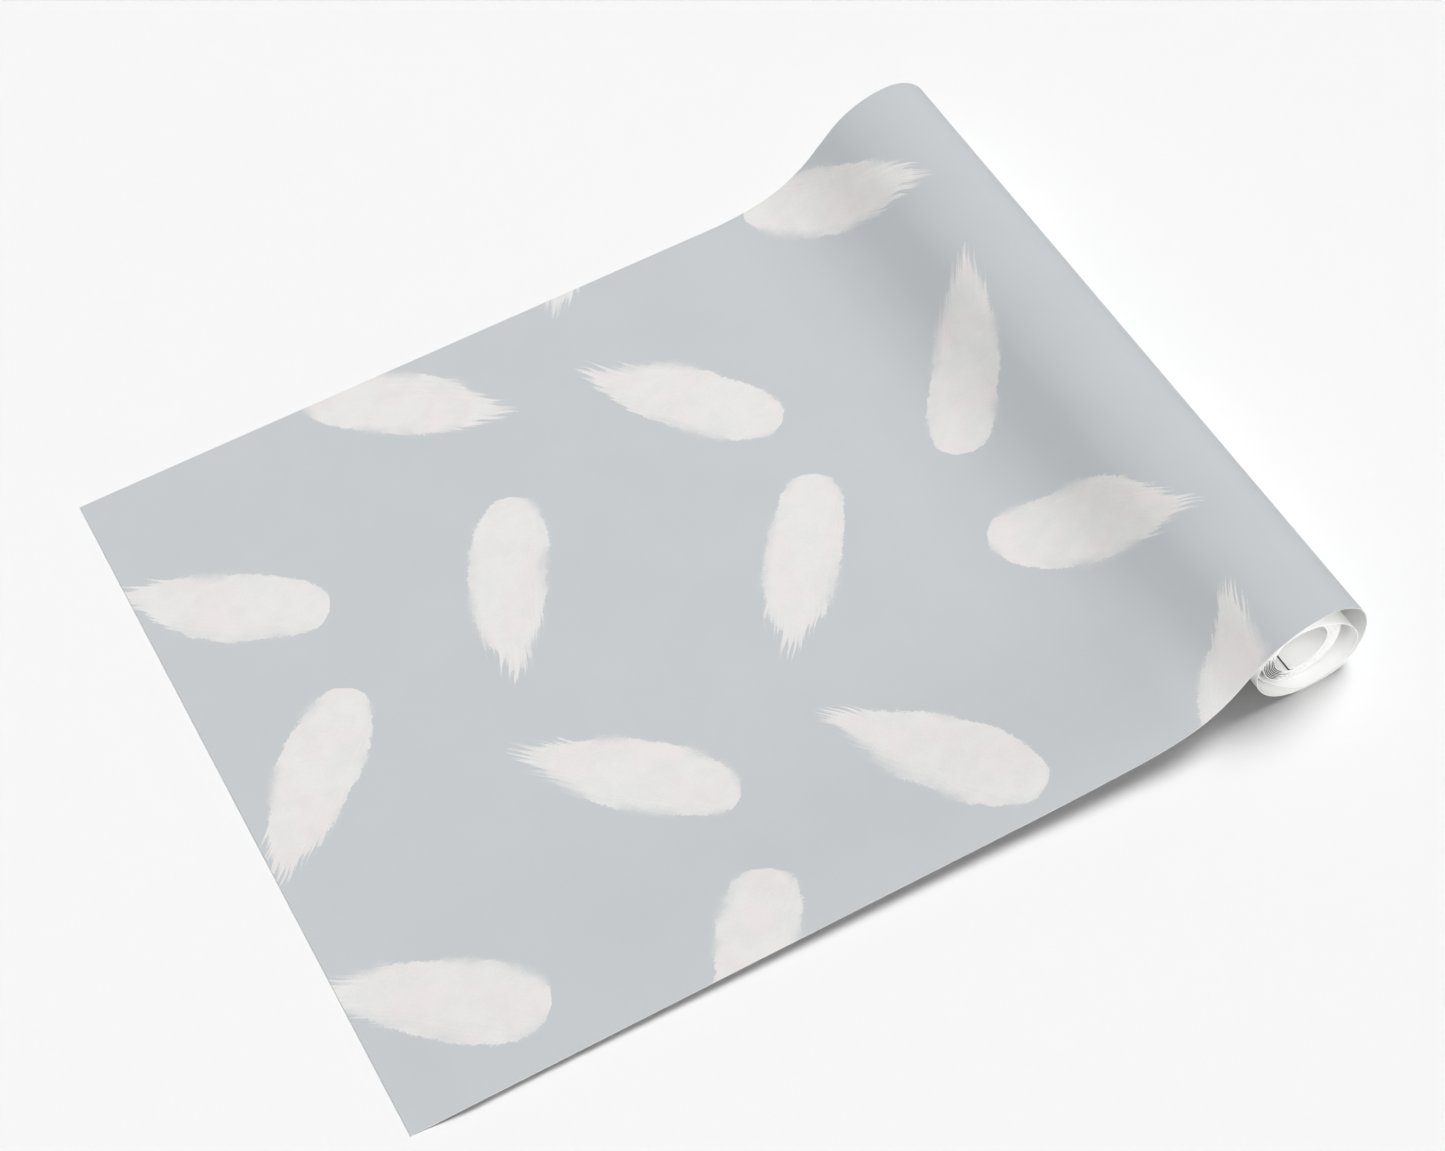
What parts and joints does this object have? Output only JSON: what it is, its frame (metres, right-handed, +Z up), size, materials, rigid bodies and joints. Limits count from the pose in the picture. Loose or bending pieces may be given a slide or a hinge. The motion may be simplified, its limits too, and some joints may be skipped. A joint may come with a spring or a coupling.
{
  "type": "patterned backdrop paper roll",
  "caption": "Coreless roll of printed paper web, partly unrolled: the end lies flat and rises in an S on to the roll, whose loose turns close round a wound coil with an open bore.",
  "frame": {"origin": "middle of the footprint of the whole part, on the surface it lies on", "axes": "+X along the web from its free edge to the roll, +Y across the web to the roll's far end, +Z up"},
  "size_m": [0.654, 0.5332, 0.064],
  "materials": {
    "printed_facing": "matt printed paper, soft grey-blue with off-white brushed marks",
    "white_paper": "matt uncoated paper, warm white"
  },
  "bodies": {
    "laid_web": {"lay_backing": "white_paper", "lay_facing": "printed_facing", "rise_backing": "white_paper", "rise_facing": "printed_facing", "outer_turn_backing": "white_paper", "outer_turn_facing": "printed_facing"},
    "free_end_3": {"free_end_3_backing": "white_paper", "free_end_3_facing": "printed_facing"},
    "free_end_2": {"free_end_2_backing": "white_paper", "free_end_2_facing": "printed_facing"},
    "free_end_1": {"free_end_1_backing": "white_paper", "free_end_1_facing": "printed_facing"},
    "loose_turn": {"second_turn": "white_paper", "lap": "white_paper"},
    "coil": {"coil": "white_paper"}
  },
  "joints": [
    {"name": "fold_3", "type": "hinge", "parent": "laid_web", "child": "free_end_3", "pos_m": [-0.117, 0, 0.0005], "axis": [0, 1, 0], "range_deg": [0, 30]},
    {"name": "fold_2", "type": "hinge", "parent": "free_end_3", "child": "free_end_2", "pos_m": [-0.187, 0, 0.0005], "axis": [0, 1, 0], "range_deg": [0, 30]},
    {"name": "fold_1", "type": "hinge", "parent": "free_end_2", "child": "free_end_1", "pos_m": [-0.257, 0, 0.0005], "axis": [0, 1, 0], "range_deg": [0, 30]},
    {"name": "telescope", "type": "slide", "parent": "laid_web", "child": "loose_turn", "axis": [0, -1, 0], "range_m": [-0.03, 0.03]},
    {"name": "coil_turn", "type": "hinge", "parent": "loose_turn", "child": "coil", "pos_m": [0.2836, 0, 0.0301], "axis": [0, 1, 0], "range_deg": [-40, 40]}
  ],
  "couplings": [
    {"joint": "fold_2", "follows": "fold_3", "ratio": 1},
    {"joint": "fold_1", "follows": "fold_3", "ratio": 1}
  ]
}
